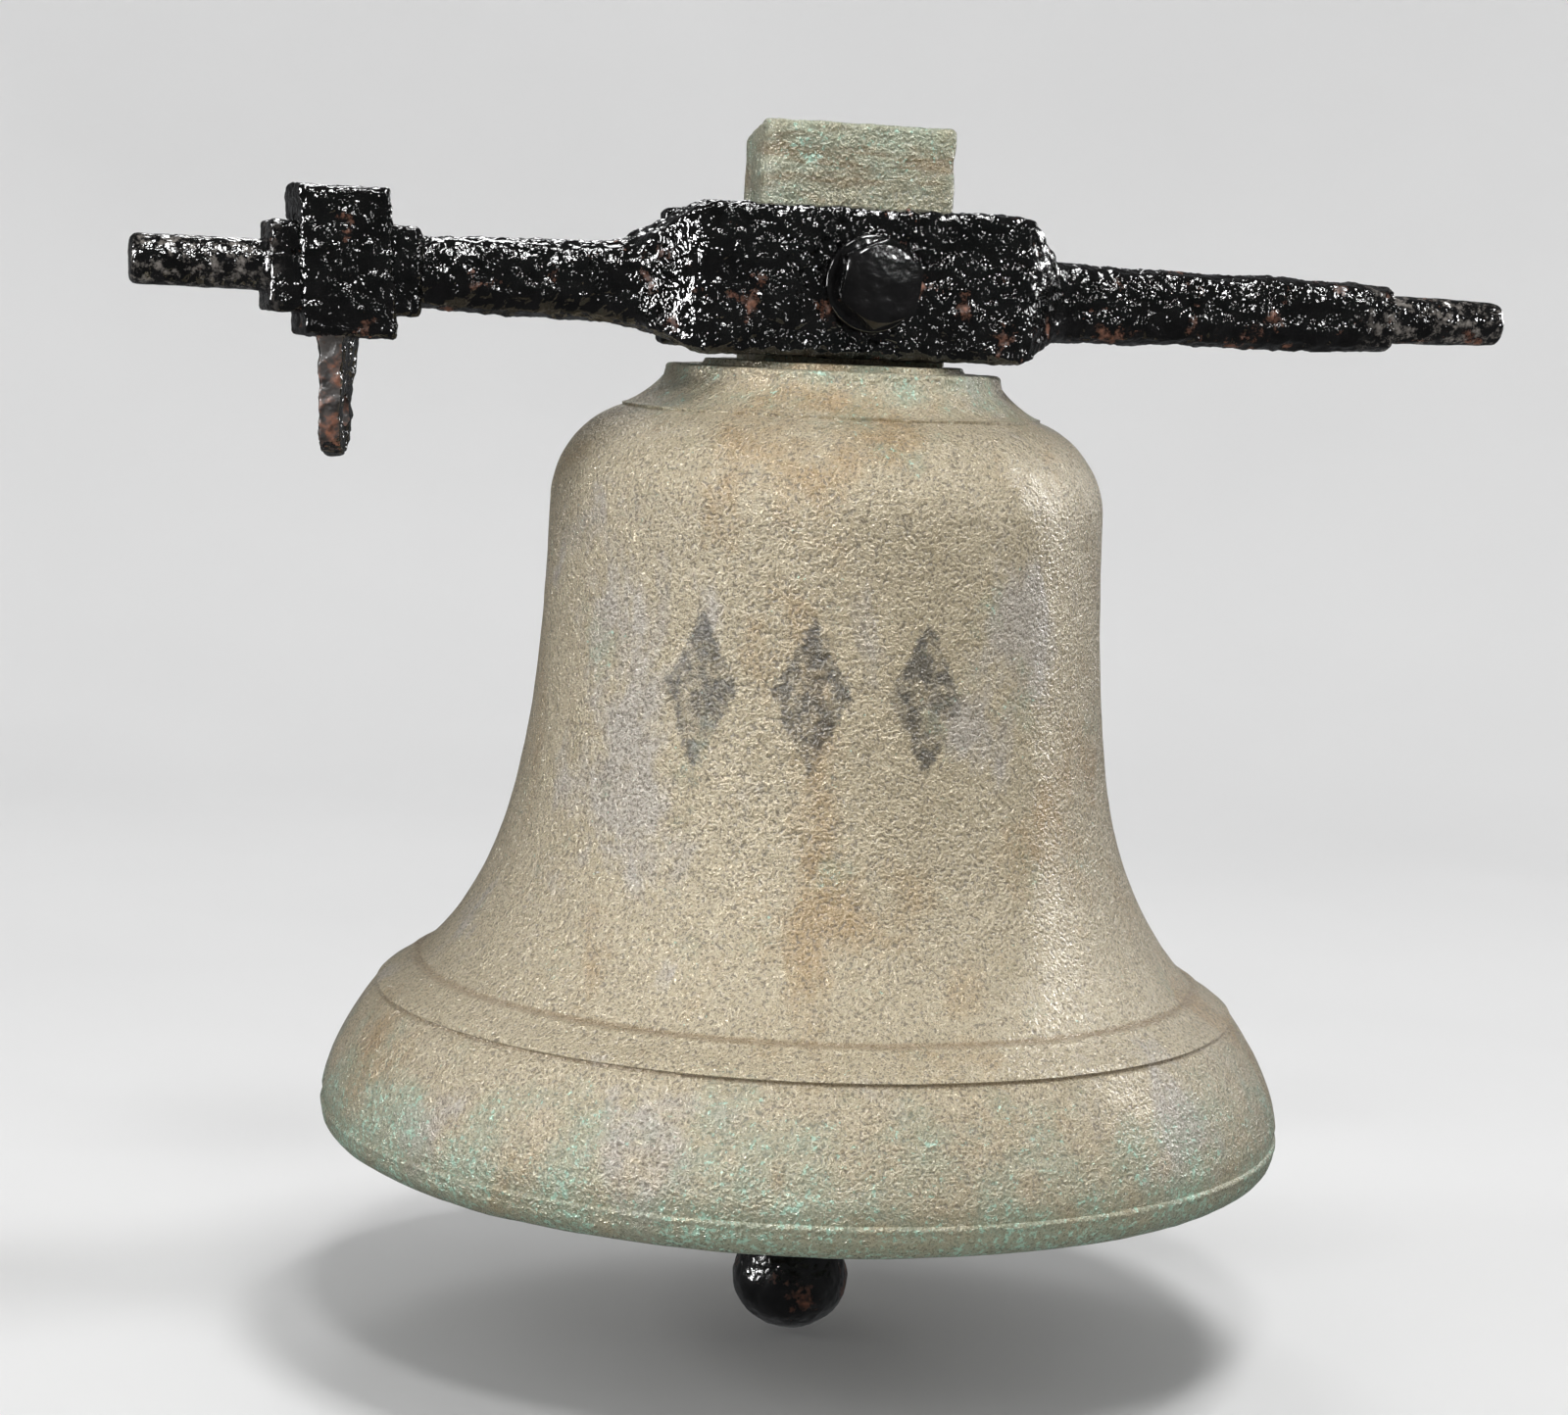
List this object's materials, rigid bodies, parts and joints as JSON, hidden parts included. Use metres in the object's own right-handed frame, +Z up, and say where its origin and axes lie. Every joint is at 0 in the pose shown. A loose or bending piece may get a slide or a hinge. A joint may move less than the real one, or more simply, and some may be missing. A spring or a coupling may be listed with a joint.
{
  "type": "church bell",
  "caption": "Small swinging church bell on a wrought iron headstock with gudgeons and a rope lever, and a loose-hung clapper inside.",
  "frame": {"origin": "middle of the gudgeon axis, on the bell's own axis", "axes": "+X along the headstock towards its longer arm, -Y the front with the bolt's head, +Z up"},
  "size_m": [0.5601, 0.381, 0.4812],
  "materials": {
    "bell_bronze": "sand-cast bell bronze, dull olive-tan with verdigris near the lip",
    "black_iron": "glossy black paint over pitted wrought iron, rust at the edges",
    "black_bolt": "glossy black paint over steel",
    "bare_iron": "dark oxidised iron",
    "black_clapper": "glossy black paint over forged iron, worn to rust round the bulb"
  },
  "bodies": {
    "bell": {"bell_casting": "bell_bronze", "crown_staple": "bare_iron", "headstock_bar": "black_iron", "headstock_rear_plate": "black_iron", "headstock_bolt": "black_bolt", "bolt_front_washer": "black_bolt", "bolt_rear_washer": "black_bolt", "headstock_nut": "black_bolt", "rope_lever": "black_iron"},
    "shackle": {"clapper_shackle": "bare_iron", "shackle_pin": "bare_iron", "shackle_pin_washer": "bare_iron", "shackle_split_pin": "bare_iron"},
    "clapper": {"clapper": "black_clapper"}
  },
  "joints": [
    {"name": "clapper_swing", "type": "hinge", "parent": "bell", "child": "shackle", "pos_m": [0, 0, -0.07435], "axis": [1, 0, 0], "range_deg": [-28, 28]},
    {"name": "clapper_sway", "type": "hinge", "parent": "shackle", "child": "clapper", "pos_m": [0, 0, -0.09735], "axis": [0, 1, 0], "range_deg": [-8, 8]}
  ]
}
